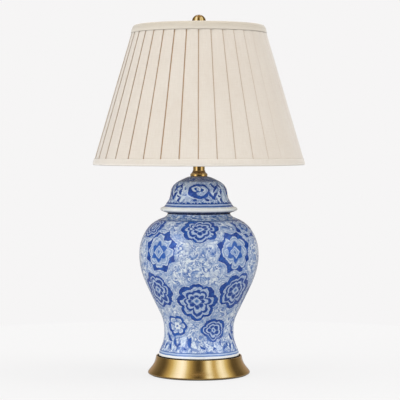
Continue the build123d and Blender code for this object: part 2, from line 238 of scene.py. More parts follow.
world = bpy.data.worlds.new("studio")
scene.world = world
world.use_nodes = True
world.node_tree.nodes.clear()
w = Graph(world.node_tree)
BACK = lin(246, 245, 245)
AMB_FRONT, AMB_BACK, AMB_LOW = (0.56, 0.556, 0.55, 1.0), (0.50, 0.50, 0.50, 1.0), (0.36, 0.36, 0.36, 1.0)
geo = w.node("ShaderNodeTexCoord")
wx, wy, wz = w.xyz(geo.outputs["Generated"])
# long soft panels that arch over the set from front to back: each is a band of the angle below, which is 0 over the middle and + to the right
arch = w.math("ARCTAN2", wx, w.sub(1.0001, wy))
archn = w.map(arch, -math.pi / 2, math.pi / 2)
ramp = w.node("ShaderNodeValToRGB")
ramp.color_ramp.interpolation = "EASE"
STUDIO = [(-90, 0.21), (-68, 0.25), (-60, 0.17), (-54, 0.12), (-50, 0.12), (-46, 0.21), (-41, 0.46), (-37, 0.72), (-32, 0.98), (-27, 1.25), (-22, 1.42),
          (-18, 1.25), (-14, 0.82), (-10, 0.48), (-6, 0.23), (-2, 0.10), (1, 0.09), (4, 0.19), (7, 0.50), (10, 1.03), (12.5, 1.25), (15, 1.03), (18, 0.62),
          (21, 0.64), (25, 1.07), (29, 1.28), (33, 1.08), (37, 0.76), (43, 0.34), (48, 0.11), (55, 0.13), (67, 0.27)]


def curve(x, pts):
    for (x0, y0), (x1, y1) in zip(pts, pts[1:]):
        if x <= x1:
            return y0 + (y1 - y0) * max(0.0, (x - x0) / (x1 - x0))
    return pts[-1][1]


# the bright panels are cool, the dim bounce between them is warm
COOL_G = [(0.1, 0.92), (0.6, 0.95), (0.77, 1.04), (0.92, 1.14), (1.1, 1.27), (1.6, 1.31)]
COOL_B = [(0.1, 0.80), (0.6, 0.65), (0.77, 0.82), (0.92, 1.20), (1.1, 2.0), (1.6, 2.95)]
while len(ramp.color_ramp.elements) < len(STUDIO):
    ramp.color_ramp.elements.new(0.5)
for e, (deg, v) in zip(ramp.color_ramp.elements, STUDIO):
    e.position = (deg + 90.0) / 180.0
    e.color = (v / 4, v * curve(v, COOL_G) / 4, v * curve(v, COOL_B) / 4, 1.0)
w.put(ramp.inputs[0], archn)
high = w.mix(1.0, ramp.outputs[0], (4, 4, 4, 1), "MULTIPLY")
LOW = [(-90, 0.22), (-60, 0.30), (-48, 0.22), (-38, 0.30), (-32, 0.60), (-26, 1.70), (-20, 1.20), (-15, 0.30), (-10, 0.10), (-3, 0.05), (8, 0.04), (16, 0.12),
       (22, 0.50), (29, 1.45), (35, 0.80), (41, 0.30), (50, 0.20), (64, 0.26), (90, 0.20)]
lowramp = w.node("ShaderNodeValToRGB")
while len(lowramp.color_ramp.elements) < len(LOW):
    lowramp.color_ramp.elements.new(0.5)
for e, (deg, v) in zip(lowramp.color_ramp.elements, LOW):
    e.position = (deg + 90.0) / 180.0
    e.color = (v / 4, v * 0.96 / 4, v * 0.80 / 4, 1.0)
w.put(lowramp.inputs[0], archn)
low = w.mix(1.0, lowramp.outputs[0], (4, 4, 4, 1), "MULTIPLY")
glossy = w.mix(w.step(wz, 0.05, -0.005), high, low)
over = w.math("MAXIMUM", w.step(wz, 0.91, 0.97), w.mul(w.step(wz, 0.70, 0.85), w.step(wy, 0.05, 0.25)))
glossy = w.mix(w.math("MAXIMUM", over, w.step(wy, 0.72, 0.92)), glossy, (0.42, 0.35, 0.28, 1.0))
ambient = w.mix(w.step(wz, 0.06, -0.10), w.mix(w.step(wy, -0.9, 0.9), AMB_FRONT, AMB_BACK), AMB_LOW)
path = w.node("ShaderNodeLightPath")
sky = w.mix(path.outputs["Is Glossy Ray"], ambient, glossy)
sky = w.mix(path.outputs["Is Camera Ray"], sky, BACK)
bg = w.node("ShaderNodeBackground")
w.put(bg.inputs[0], sky)
bg.inputs[1].default_value = 1.0
wo = w.node("ShaderNodeOutputWorld")
world.node_tree.links.new(bg.outputs[0], wo.inputs[0])


def sun(name, energy, angle, az_deg, el_deg, colour=(1, 1, 1), glossy=False):
    """A soft distant light: az 0 is from the camera's side, + from the viewer's right."""
    d = bpy.data.lights.new(name, "SUN")
    d.energy = energy
    d.angle = math.radians(angle)
    d.color = colour
    o = bpy.data.objects.new(name, d)
    scene.collection.objects.link(o)
    a, e = math.radians(az_deg), math.radians(el_deg)
    to = Vector((math.sin(a) * math.cos(e), -math.cos(a) * math.cos(e), math.sin(e)))
    o.rotation_euler = to.to_track_quat("Z", "Y").to_euler()
    o.location = to * 3.0
    o.visible_glossy = glossy
    return o


sun("key", 0.55, 30.0, -50.0, 28.0, (0.995, 1.0, 0.985))
sun("side", 0.40, 30.0, -80.0, 15.0, (0.99, 1.0, 1.0))
sun("front", 0.78, 30.0, -5.0, 9.0, (1.0, 1.0, 1.0))
sun("fill", 0.36, 40.0, 70.0, 20.0, (1.0, 0.99, 0.975))
sun("back", 0.85, 40.0, 172.0, 24.0, (1.0, 1.0, 1.0))
sun("high_left", 0.85, 30.0, -88.0, 60.0, (0.995, 1.0, 0.985))
sun("high_right", 1.35, 30.0, 86.0, 58.0, (1.0, 0.985, 0.965))

# floor: a pale sweep that is as bright as the backdrop, and throws only part of that back up at the lamp
fl, fg, fb = material("floor", roughness=0.9, specular_ior_level=0.0)
fb.inputs["Base Color"].default_value = (0.12, 0.119, 0.119, 1.0)
fb.inputs["Emission Color"].default_value = (1.0, 0.995, 0.995, 1.0)
ray = fg.node("ShaderNodeLightPath").outputs
fg.put(fb.inputs["Emission Strength"], fg.mad(ray["Is Diffuse Ray"], 0.10, fg.mad(ray["Is Camera Ray"], 0.45, 0.315)))
rim = [(0.0, 0.0, -0.0002)] + [(0.95 * math.sin(2 * math.pi * i / 96), 0.95 * math.cos(2 * math.pi * i / 96), -0.0002) for i in range(96)]
me = bpy.data.meshes.new("floor")
me.from_pydata(rim, [], [(0, (i + 1) % 96 + 1, i + 1) for i in range(96)])
me.materials.append(fl)
floor = bpy.data.objects.new("floor", me)
scene.collection.objects.link(floor)

# ------------------------------------------------------------------ metal
def brass(name, base, dark, rough, ring_scale, aniso, tarnish=0.25, painted_shade_rim=None, painted_reflection_band=None):
    m, g, b = material(name, metallic=1.0, anisotropic=aniso, anisotropic_rotation=0.25, coat_weight=0.6, coat_roughness=0.12, coat_ior=1.5)
    p = g.coords()
    phi, r, z = g.polar(p)
    # the turning marks run round the piece, so they are fine across it and long along it
    lines = g.noise(g.join(g.mul(phi, 1.5), g.mul(r, ring_scale), g.mul(z, ring_scale)), 1.0, 2.0, 0.6)
    cloud = g.noise(p, 0.03, 2.0, 0.5)
    patina = g.noise(p, 0.05, 3.0, 0.55)
    c = g.mix(g.mul(g.step(patina, 0.45, 0.75), tarnish), base, dark)
    c = g.mix(g.map(lines, 0.3, 0.7, 0.0, 0.08), c, dark)
    if painted_shade_rim:
        # painted shade: the turned-under bottom edge is painted dark brown
        c = g.mix(g.mul(g.step(z, 5.2, 3.2), 0.6), c, (0.13, 0.085, 0.04, 1.0))
        # painted shadow: inside the rim, in the gap round the jar's foot, the brass is painted near-black
        c = g.mix(g.mul(g.step(r, painted_shade_rim[1], painted_shade_rim[0]), 0.93), c, (0.035, 0.022, 0.010, 1.0))
    if painted_reflection_band:
        # painted reflection: a band of the cap is painted dark brown, for the dark underside of the shade that it
        # mirrors
        low_, high_ = painted_reflection_band
        c = g.mix(g.mul(g.mul(g.step(z, low_ - 0.8, low_ + 0.8), g.step(z, high_ + 0.9, high_ - 0.9)), 0.85), c, (0.17, 0.085, 0.025, 1.0))
    g.put(b.inputs["Base Color"], c)
    ro = g.add(g.map(lines, 0.25, 0.75, -0.015, 0.02), g.map(cloud, 0.3, 0.7, rough - 0.01, rough + 0.02))
    g.put(b.inputs["Roughness"], ro)
    g.put(b.inputs["Normal"], g.bump(lines, 0.025, 0.00012))
    t = g.node("ShaderNodeTangent", direction_type="RADIAL", axis="Z")
    g.put(b.inputs["Tangent"], t.outputs[0])
    return m


M_BASE = brass("antique_brass_base", (0.79, 0.49, 0.150, 1), (0.50, 0.29, 0.085, 1), 0.17, 1.2, 0.5, 0.10, (80.4, 81.3))
M_BRASS = brass("antique_brass", (0.75, 0.490, 0.185, 1), (0.42, 0.24, 0.07, 1), 0.11, 1.2, 0.0, 0.12, None, (387.6, 392.4))
M_FINIAL = brass("antique_brass_finial", (0.70, 0.425, 0.118, 1), (0.42, 0.24, 0.07, 1), 0.09, 1.2, 0.0, 0.10)
M_PLATE = brass("plated_brass", (0.74, 0.56, 0.29, 1), (0.46, 0.32, 0.14, 1), 0.20, 1.2, 0.3, 0.10)

# ------------------------------------------------------------------ porcelain
INK = lin(15, 58, 142)
COBALT = lin(35, 87, 171)
MID = lin(80, 119, 184)
WASH = lin(122, 149, 199)
PALE = lin(158, 176, 208)
LIGHT = lin(190, 201, 222)
WHITE = lin(222, 227, 236)

JAR = [(77.3, 34.2), (77.6, 36.9), (77.1, 41.4), (74.6, 49.0), (71.0, 58.0), (68.3, 67.0), (66.9, 77.0), (66.7, 85.0), (67.6, 96.5),
       (70.4, 108.5), (76.4, 122.3), (84.0, 137.8), (91.6, 153.3), (99.0, 168.8), (105.6, 184.2), (110.8, 199.7), (114.0, 215.2),
       (115.1, 229.0), (114.6, 241.5), (112.4, 254.0), (108.3, 265.5), (102.5, 277.0), (93.2, 288.4), (82.6, 296.2), (71.5, 301.3),
       (64.4, 304.6), (61.0, 308.4), (60.5, 310.2)]
LID = [(69.0, 314.6), (73.0, 316.6), (74.3, 318.5), (73.6, 320.5), (70.6, 322.6), (66.4, 324.6), (64.4, 327.0), (62.3, 330.4),
       (59.8, 334.2), (57.4, 338.4), (55.8, 342.8), (55.0, 347.5), (54.5, 352.2), (53.4, 356.9), (51.4, 361.2), (48.4, 365.2),
       (44.1, 369.2), (37.6, 373.2), (29.5, 377.2), (22.0, 380.3), (17.6, 381.5)]

# azimuth, height, outer radius (mm), turn, lobes, kind: 0 a star in a pale flower, 1 nested rings, 2 a rolled rose, 3 a small open rose
UPRIGHT = math.pi / 8
FLOWERS = [
    (1, 284.5, 38, UPRIGHT, 8, 1.0), (63, 286, 34, 1.0, 7, 0.0), (-64, 287, 34, 2.0, 8, 1.0), (121, 288, 35, 0.6, 8, 1.0), (-124, 289, 34, 1.7, 7, 0.0), (180, 288, 36, 0.1, 8, 1.0),
    (-41.0, 242, 39.5, UPRIGHT, 8, 0.0), (36.8, 241.5, 40, UPRIGHT, 8, 0.0), (104, 243, 38, 0.9, 8, 1.0), (172, 240, 40, 2.1, 8, 0.0), (-114, 241, 39, 1.3, 8, 1.0),
    (-2.6, 149.0, 40.5, UPRIGHT, 8, 1.0), (44, 168, 38, 1.1, 7, 1.0), (-52, 168, 37.5, 2.2, 7, 1.0), (92, 152, 37, 0.5, 8, 0.0), (140, 172, 34, 1.9, 8, 1.0), (-172, 150, 39, 0.9, 7, 0.0), (-110, 154, 37, 1.5, 8, 0.0),
    (-36, 98, 24, 0.4, 6, 3.0), (24.5, 91.5, 25.5, 1.2, 5, 1.0), (82, 95, 22, 0.8, 6, 3.0), (138, 92, 25, 2.0, 5, 1.0), (-160, 94, 22, 0.3, 6, 3.0), (-98, 92, 25, 1.0, 5, 1.0),
]
LID_FLOWERS = [(90.0 * k + 1.0, 355.5, 21.5, 0.4, 7, 2.0) for k in range(4)]


def radius_on(profile, z):
    for (r0, z0), (r1, z1) in zip(profile, profile[1:]):
        if z0 <= z <= z1:
            return r0 + (z - z0) / (z1 - z0) * (r1 - r0)
    return profile[-1][0] if z > profile[-1][1] else profile[0][0]


def ramp_of(g, x, stops, interpolation="EASE"):
    n = g.node("ShaderNodeValToRGB")
    n.color_ramp.interpolation = interpolation
    while len(n.color_ramp.elements) < len(stops):
        n.color_ramp.elements.new(0.5)
    for e, (pos, colour) in zip(n.color_ramp.elements, stops):
        e.position = pos
        e.color = colour
    g.put(n.inputs[0], x)
    return n.outputs[0]


def surface_offset(g, q, phi):
    """A small step q over the surface as (sideways, up) in mm."""
    qx, qy, qz = g.xyz(q)
    sn, cs = g.math("SINE", phi), g.math("COSINE", phi)
    e = g.add(g.mul(qx, cs), g.mul(qy, sn))
    o = g.sub(g.mul(qx, sn), g.mul(qy, cs))
    f = g.mul(g.math("SIGN", qz), g.math("SQRT", g.add(g.mul(qz, qz), g.mul(o, o))))
    return e, f


def length2(g, a, b):
    return g.math("SQRT", g.add(g.mul(a, a), g.mul(b, b)))


CHALK, W1, W2, W3 = lin(210, 219, 235), lin(184, 197, 222), lin(152, 171, 208), lin(128, 152, 198)
NESTED = [(0.0, COBALT), (0.09, MID), (0.15, W2), (0.20, CHALK), (0.255, W2), (0.28, MID), (0.31, INK), (0.46, INK), (0.50, COBALT), (0.53, W2), (0.56, CHALK), (0.60, W2),
          (0.63, CHALK), (0.66, W3), (0.685, COBALT), (0.71, INK), (0.81, INK), (0.84, COBALT), (0.865, W2), (0.885, CHALK), (0.925, W3), (0.965, CHALK), (1.0, W3)]
STARRED = [(0.0, W3), (0.42, lin(134, 157, 200)), (0.58, lin(148, 167, 204)), (0.68, lin(162, 179, 210)), (0.72, lin(206, 215, 231)), (0.765, lin(196, 206, 226)), (0.80, lin(112, 140, 190)), (0.835, lin(150, 168, 204)), (0.885, lin(146, 165, 202)), (0.93, lin(212, 220, 234)), (0.965, lin(200, 210, 228)), (1.0, lin(120, 146, 194))]
OPENED = [(0.0, COBALT), (0.12, COBALT), (0.19, WHITE), (0.40, WHITE), (0.47, LIGHT), (0.52, MID), (0.56, W2), (0.72, LIGHT), (0.80, WASH), (0.86, WHITE), (1.0, LIGHT)]


def paint(g, flowers, profile, curl=8.5, cell=0.062, dabs=0.65, curls=0.8):
    """The blue painting: rolled clouds and tendrils on a pale ground, with scalloped flowers over them."""
    p0 = g.coords()
    half = (0.5, 0.5, 0.5)
    big = g.vec("SUBTRACT", g.noise(p0, 0.04, 2.0, 0.5, colour=True), half)
    small = g.vec("SUBTRACT", g.noise(p0, 0.17, 2.0, 0.5, colour=True), half)
    p = g.vec("ADD", g.vec("ADD", p0, g.vec("SCALE", big, scale=8.0)), g.vec("SCALE", small, scale=3.4))
    phi, r, z = g.polar(p)
    phi0, r0, z0 = g.polar(p0)

    # which flower is nearest, in its own radii
    best = centre = code = None
    for a, h, size, turn, lobes, kind in flowers:
        rc = radius_on(profile, h)
        f = math.radians(a)
        c = (rc * math.sin(f), -rc * math.cos(f), h)
        d = g.mul(g.vec("DISTANCE", p, c), 1.0 / size)
        pole, key = (f, rc, h), (size, turn, lobes + 0.3 * kind)
        if best is None:
            best, centre, code = d, pole, key
        else:
            near = g.math("LESS_THAN", d, best)
            centre = g.mixv(near, centre, pole)
            code = g.mixv(near, code, key)
            best = g.math("MINIMUM", best, d)
    cf, cr, cz = g.xyz(centre)
    size, turn, lobecode = g.xyz(code)
    df = g.math("WRAP", g.sub(phi, cf), math.pi, -math.pi)
    u = g.mul(df, g.mul(g.add(r, cr), 0.5))
    dz, dr = g.sub(z, cz), g.sub(r, cr)
    v = g.mul(g.math("SIGN", dz), length2(g, dz, dr))
    # drawn a little flat on the shoulder and near the foot
    v = g.mul(v, g.add(g.step(cz, 262.0, 280.0, 1.0, 1.40), g.step(cz, 112.0, 104.0, 0.0, 0.10)))
    rho = g.div(length2(g, u, v), size)
    th0 = g.math("ARCTAN2", v, u)
    th = g.add(th0, turn)
    lobes = g.math("FLOOR", g.add(lobecode, 0.001))
    kind = g.div(g.sub(lobecode, lobes), 0.3)
    star = g.step(kind, 0.6, 0.4)
    nested = g.mul(g.step(kind, 0.4, 0.6), g.step(kind, 1.6, 1.4))
    rolled = g.mul(g.step(kind, 1.4, 1.6), g.step(kind, 2.6, 2.4))
    opened = g.step(kind, 2.4, 2.6)

    def lobe(n, shift=0.0, power=0.8):
        return g.math("POWER", g.math("ABSOLUTE", g.math("SINE", g.add(g.mul(th, g.mul(n, 0.5)), shift))), power)

    def band(x, at, half_width, soft):
        """1 on a line drawn at x = at."""
        return g.step(g.math("ABSOLUTE", g.sub(x, at)), half_width + soft, half_width)

    jit = g.sub(g.noise(p0, 0.26, 2.0, 0.6), 0.5)
    edge = g.mad(jit, 0.075, rho)
    fine = g.noise(p0, 0.42, 4.0, 0.62, 0.8)
    brushy = g.noise(p0, 0.12, 3.0, 0.6)

    # ---- ground: rolled clouds, each a spiral with a white upper edge and a blue shadow, in two sizes
    warp = g.vec("ADD", g.vec("ADD", p0, g.vec("SCALE", big, scale=14.0)), g.vec("SCALE", small, scale=2.6))

    def rolls(vector, scale, pitch):
        vo = g.voronoi(vector, scale)
        ccx, ccy, ccz = g.xyz(vo["Color"])
        e, f = surface_offset(g, g.vec("SUBTRACT", vector, vo["Position"]), phi0)
        ang = g.math("ARCTAN2", f, e)
        hand = g.sub(g.mul(g.math("GREATER_THAN", ccx, 0.5), 2.0), 1.0)
        spin = g.math("FRACT", g.add(g.add(g.mul(g.mul(ang, hand), 1.0 / (2 * math.pi)), ccy), g.mul(length2(g, e, f), 1.0 / pitch)))
        return spin, ccz

    stops = [(0.0, lin(74, 110, 176)), (0.05, lin(150, 170, 208)), (0.09, lin(240, 243, 247)), (0.24, lin(232, 236, 243)), (0.35, lin(200, 210, 228)), (0.54, lin(172, 187, 216)), (0.78, lin(140, 163, 206)), (0.92, lin(98, 130, 190)), (1.0, lin(70, 106, 174))]
    spin, ccz = rolls(warp, cell, curl)
    # and between them ribbons that run on, bright along one edge
    wander = g.noise(g.vec("ADD", p0, g.vec("SCALE", big, scale=10.0)), cell * 0.62, 1.0, 0.45, 1.1)
    spin2 = g.math("FRACT", g.mul(wander, 6.5))
    roll = g.mix(g.step(g.noise(p0, 0.045, 2.0, 0.5), 0.47, 0.56), ramp_of(g, spin, stops, "LINEAR"), ramp_of(g, spin2, stops, "LINEAR"))
    vein = g.voronoi(warp, cell * 1.3, "DISTANCE_TO_EDGE")["Distance"]
    patch = g.noise(p0, 0.028, 2.0, 0.55)
    quiet = g.mix(g.step(fine, 0.36, 0.62), WASH, LIGHT)
    ground = g.mix(g.map(fine, 0.30, 0.68, 0.0, 0.12), roll, quiet)
    ground = g.mix(g.mul(g.step(vein, 0.10, 0.03), g.step(brushy, 0.58, 0.46, 0.0, 0.50)), ground, lin(100, 130, 188))
    ground = g.mix(g.mul(g.step(patch, 0.48, 0.62), 0.42), ground, WHITE)
    accent = g.mul(g.mul(g.step(spin, 0.70, 0.80), g.step(spin, 0.995, 0.95)), g.step(ccz, 0.70, 0.76))
    ground = g.mix(g.mul(accent, g.map(fine, 0.3, 0.7, 0.6, 1.0)), ground, lin(50, 94, 168))
    dab = g.noise(g.vec("ADD", p0, g.vec("SCALE", small, scale=9.0)), 0.165, 2.0, 0.5, 1.5)
    ground = g.mix(g.mul(g.step(dab, 0.555, 0.61), dabs), ground, lin(76, 112, 178))
    ground = g.mix(g.mul(g.step(dab, 0.445, 0.385), dabs), ground, lin(232, 237, 244))
    # curled strokes, white with a blue line round the outside
    bent = g.vec("ADD", p0, g.vec("ADD", g.vec("SCALE", big, scale=18.0), g.vec("SCALE", small, scale=6.0)))
    vo = g.voronoi(bent, cell * 1.45)
    ax, ay, az = g.xyz(vo["Color"])
    e, f = surface_offset(g, g.vec("SUBTRACT", bent, vo["Position"]), phi0)
    reach = g.mul(length2(g, e, f), g.mad(az, 0.5, 0.8))
    facing = g.math("COSINE", g.sub(g.math("ARCTAN2", f, e), g.mad(ax, 3.4, 0.3)))
    curled = g.mul(g.step(facing, -0.30, 0.25), g.mul(g.step(ay, 0.18, 0.24), curls))
    swept = g.mad(facing, -0.9, reach)
    ground = g.mix(g.mul(curled, g.step(g.math("ABSOLUTE", g.sub(swept, 4.1)), 1.0, 0.35)), ground, lin(64, 102, 174))
    ground = g.mix(g.mul(curled, g.step(g.math("ABSOLUTE", g.sub(swept, 2.5)), 1.45, 0.65)), ground, lin(238, 241, 246))

    brush = g.mix(g.step(brushy, 0.40, 0.66), INK, COBALT)
    brush = g.mix(g.mul(g.step(fine, 0.52, 0.72), 0.30), brush, MID)

    # ---- flowers, from the outside in
    lp = lobe(lobes)
    upright = g.math("COSINE", g.mul(th0, 2.0))
    slack = g.mul(g.math("COSINE", g.add(th, g.mul(lobecode, 7.3))), g.mad(opened, 0.08, 0.05))
    slack = g.mad(g.math("COSINE", g.mad(th, 3.0, g.mul(lobecode, 3.1))), 0.03, slack)
    slack = g.mad(upright, g.mul(star, 0.03), slack)
    uneven = g.mul(edge, g.add(slack, 1.0))
    outline = g.mad(lp, g.mad(rolled, -0.12, 0.19), g.mad(rolled, 0.13, 0.81))
    # the dark edge is thick on two sides of a flower and thin on the others
    thick = g.mad(g.math("COSINE", g.mad(th0, 2.0, g.mul(lobecode, 5.3))), 0.045, g.mad(star, 0.005, g.mad(rolled, 0.03, g.mad(opened, 0.02, 0.205))))
    thick = g.mad(g.map(g.noise(p0, 0.06, 1.0, 0.5), 0.35, 0.65, -1.0, 1.0), 0.075, thick)
    petal = g.sub(outline, thick)
    # behind the gaps between the pale petals stand the points of dark ones: long on the star kind, where a thin line goes round the petals' tips
    point = lobe(lobes, 0.0, 1.1)
    blunt = g.mul(nested, 0.08)
    outer = g.add(g.mul(outline, g.sub(1.0, blunt)), g.mul(g.mad(point, -0.15, 1.04), blunt))
    outer = g.add(g.mul(outer, g.sub(1.0, star)), g.mul(g.math("MAXIMUM", g.add(petal, 0.06), g.mad(point, -0.20, 1.04)), star))
    cloud = g.sub(uneven, outer)
    # lines in the ground that follow the flower's outline
    echo = g.mul(g.step(cloud, 0.02, 0.05), g.step(cloud, 0.26, 0.10))
    wave = g.math("SINE", g.mul(cloud, 2 * math.pi / 0.115))
    c = g.mix(g.mul(echo, 0.62), ground, g.mix(g.map(wave, -1, 1), WASH, LIGHT))
    c = g.mix(g.step(cloud, 0.018, -0.014), c, brush)
    s = g.div(uneven, g.math("MINIMUM", petal, g.sub(outer, 0.05)))
    dia = g.mul(edge, g.add(g.math("ABSOLUTE", g.math("COSINE", th0)), g.math("ABSOLUTE", g.math("SINE", th0))))
    core = g.step(edge, 0.34, 0.20)
    near = g.xyz(g.mixv(core, g.join(s, 0.0, 0.0), g.join(g.mul(dia, 1.10), 0.0, 0.0)))[0]
    inside = g.step(s, 1.012, 0.985)
    k = ramp_of(g, near, NESTED, "LINEAR")
    k = g.mix(g.mul(g.mul(band(near, 0.385, 0.07, 0.04), g.step(lp, 0.55, 0.28)), 0.55), k, W2)
    k = g.mix(g.map(fine, 0.35, 0.65, 0.0, 0.16), k, lin(104, 136, 192))
    # star kind: a blue star of broad points on pale petals
    m = ramp_of(g, s, STARRED, "LINEAR")
    m = g.mix(g.step(fine, 0.46, 0.62, 0.0, 0.42), m, lin(108, 138, 192))
    m = g.mix(g.step(fine, 0.42, 0.34, 0.0, 0.35), m, lin(208, 217, 232))
    tip = g.math("PINGPONG", g.mul(g.sub(th0, math.pi / 2 - math.pi / 6), 6.0 / (2 * math.pi)), 0.5)
    starry = g.sub(edge, g.mad(tip, 0.40, 0.315))
    m = g.mix(g.step(starry, 0.014, -0.014), m, g.mix(g.step(fine, 0.40, 0.66), COBALT, lin(54, 100, 178)))
    eye = ramp_of(g, g.mul(dia, 0.98), [(0.0, MID), (0.06, lin(74, 110, 176)), (0.11, WASH), (0.15, LIGHT), (0.185, lin(112, 142, 196)), (0.225, lin(134, 158, 203)), (0.25, W1), (0.30, W1)], "LINEAR")
    m = g.mix(g.step(dia, 0.310, 0.290), m, eye)
    c = g.mix(g.mul(inside, nested), c, k)
    c = g.mix(g.mul(inside, star), c, m)
    # open kind: a white heart with a dark eye, strokes between the petals and a dark outline
    k = ramp_of(g, s, OPENED, "LINEAR")
    k = g.mix(g.mul(g.mul(g.step(lp, 0.55, 0.30), g.step(s, 0.40, 0.50)), 0.8), k, COBALT)
    k = g.mix(g.mul(g.step(fine, 0.56, 0.64), g.mul(g.step(s, 0.42, 0.56), 0.7)), k, MID)
    c = g.mix(g.mul(inside, opened), c, k)
    # rolled kind: a spiral of pale petals in a thick outline
    uu, vv = g.mad(jit, 0.14, g.div(u, size)), g.mad(jit, -0.12, g.div(v, size))

    def arc(cx, cy, radius, half, mid, spread, soft=0.05):
        """A curved stroke: part of a circle, with mid the direction of its middle and spread half of its opening, in radians."""
        x, y = g.sub(uu, cx), g.sub(vv, cy)
        on = g.step(g.math("ABSOLUTE", g.sub(length2(g, x, y), radius)), half + soft, half)
        if spread is None:
            return on
        turn_ = g.math("ABSOLUTE", g.math("WRAP", g.sub(g.math("ARCTAN2", y, x), mid), math.pi, -math.pi))
        return g.mul(on, g.step(turn_, spread, spread - 0.35))

    pale = g.mix(g.step(fine, 0.40, 0.60), W2, CHALK)
    k = g.mix(g.step(length2(g, g.mul(g.sub(uu, 0.10), 0.75), g.add(vv, 0.36)), 0.30, 0.20), brush, pale)
    for args, tone in (((0.06, -0.02, 0.60, 0.10, 0.15, 1.50), pale), ((0.18, 0.12, 0.33, 0.05, 0.25, 1.45), WHITE),
                       ((-0.24, 0.20, 0.0, 0.36, 0.0, None), COBALT), ((-0.24, 0.20, 0.33, 0.055, 1.9, 2.75), WHITE), ((-0.20, 0.20, 0.12, 0.04, 0.0, 1.9), LIGHT)):
        k = g.mix(arc(*args), k, tone)
    c = g.mix(g.mul(rolled, arc(0.0, 0.0, 1.13, 0.035, -2.45, 0.95)), c, WHITE)
    c = g.mix(g.mul(inside, rolled), c, k)
    return c, p0, phi0, r0, z0, fine, brush


def leaves(g, c, p0, phi, r, z, colour, count, strokes, profile):
    """Single brush strokes, (degrees, height, half length, half width, lean) for one of count equal sectors."""
    wob = g.sub(g.noise(p0, 0.13, 2.0, 0.5), 0.5)
    sector = 2 * math.pi / count
    mask = None
    for deg, h, length, width, lean in strokes:
        f = g.math("WRAP", g.sub(phi, math.radians(deg)), sector / 2, -sector / 2)
        u = g.mad(wob, 3.0, g.mul(f, radius_on(profile, h)))
        v = g.mad(wob, 2.6, g.sub(z, h))
        a, b = math.cos(math.radians(lean)), math.sin(math.radians(lean))
        s = g.mul(g.add(g.mul(u, b), g.mul(v, a)), 1.0 / length)
        t = g.mul(g.sub(g.mul(u, a), g.mul(v, b)), 1.0 / width)
        t = g.sub(t, g.mul(g.mul(s, s), 0.8))
        d = g.step(length2(g, s, t), 1.05, 0.82)
        mask = d if mask is None else g.math("MAXIMUM", mask, d)
    return g.mix(mask, c, colour)


def body_finish(g, c, p0, phi, r, z0, fine, brush):
    # round the bottom the ground is whiter, with separate brush strokes in it
    blot = g.noise(p0, 0.085, 3.0, 0.6)
    brushy2 = g.noise(g.join(g.mul(phi, 9.0), g.mul(phi, 2.0), g.mul(z0, 0.11)), 1.0, 3.0, 0.6, 0.8)
    low = g.mul(g.step(z0, 86.0, 66.0), g.step(blot, 0.45, 0.58))
    c = g.mix(g.mul(low, 0.30), c, lin(218, 225, 236))
    c = g.mix(g.mul(g.step(z0, 92.0, 70.0), g.mul(g.step(brushy2, 0.49, 0.56), 0.75)), c, lin(76, 110, 176))
    petals = [(-26, 71, 11.0, 6.0, 10), (-9, 63, 7.5, 5.0, -20), (-48, 60, 6.5, 3.6, -20), (-58, 57, 5.5, 3.4, 20), (18, 58, 5.5, 4.2, 60), (31, 57, 5.0, 3.6, -30), (52, 60, 6.5, 3.0, 20)]
    c = leaves(g, c, p0, phi, r, z0, g.mix(g.step(fine, 0.40, 0.60), lin(172, 189, 218), lin(228, 233, 241)), 3, petals, JAR)
    strokes = [(-15.5, 69, 10.0, 4.0, 4), (-41.5, 67, 9.5, 3.2, -22), (-34, 62.5, 6.0, 2.4, 48), (-56, 75, 11.5, 3.0, -42), (-50, 60, 7.0, 2.4, -12), (-62, 59, 6.0, 2.0, 20), (5, 58, 6.0, 2.2, -62),
               (43, 57.5, 4.5, 2.0, 60), (50, 62, 5.0, 2.0, -30), (57, 60, 5.5, 2.0, 16), (24, 56.5, 4.5, 1.9, 62), (-22, 55.5, 3.5, 1.7, -60), (36, 68, 6.0, 1.7, 14)]
    c = leaves(g, c, p0, phi, r, z0, g.mix(0.15, brush, MID), 3, strokes, JAR)
    z = g.mad(g.sub(g.noise(p0, 0.05, 1.0), 0.5), 1.2, z0)
    # shoulder under the lid
    streak = g.noise(g.join(g.mul(phi, 8.0), g.mul(phi, 2.0), g.mul(z, 0.42)), 1.0, 3.0, 0.6, 0.7)
    collar = ramp_of(g, streak, [(0.36, lin(66, 98, 162)), (0.45, lin(112, 142, 194)), (0.54, lin(176, 192, 220)), (0.64, lin(240, 243, 248))])
    c = g.mix(g.step(z, 298.2, 299.2), c, collar)
    c = g.mix(g.mul(g.step(z, 297.5, 298.1), g.step(z, 299.6, 299.0)), c, lin(62, 90, 146))
    # painted shade: a dark navy ring at the top of the jar's neck, under the lid's lip
    c = g.mix(g.step(z0, 309.5, 310.1), c, lin(24, 36, 78))
    # foot: three thin brushed lines over a white band
    press = g.noise(g.join(g.mul(phi, 2.5), g.mul(z, 0.2), 0.0), 1.0, 2.0, 0.5)
    c = g.mix(g.step(z, 49.0, 48.2), c, lin(140, 163, 204))
    for at, half, tone in ((48.1, 0.50, lin(50, 86, 158)), (45.9, 0.35, lin(196, 208, 228)), (43.3, 0.40, lin(66, 102, 172))):
        line = g.step(g.math("ABSOLUTE", g.sub(z, at)), half + 0.6, half)
        c = g.mix(g.mul(line, g.map(press, 0.35, 0.65, 0.6, 1.0)), c, tone)
    c = g.mix(g.step(z, 42.5, 41.9), c, lin(240, 239, 240))
    # painted shadow: the foot rim is painted near-black where it stands down in the gap inside the base
    c = g.mix(g.step(z0, 38.7, 37.5), c, lin(26, 19, 13))
    return c


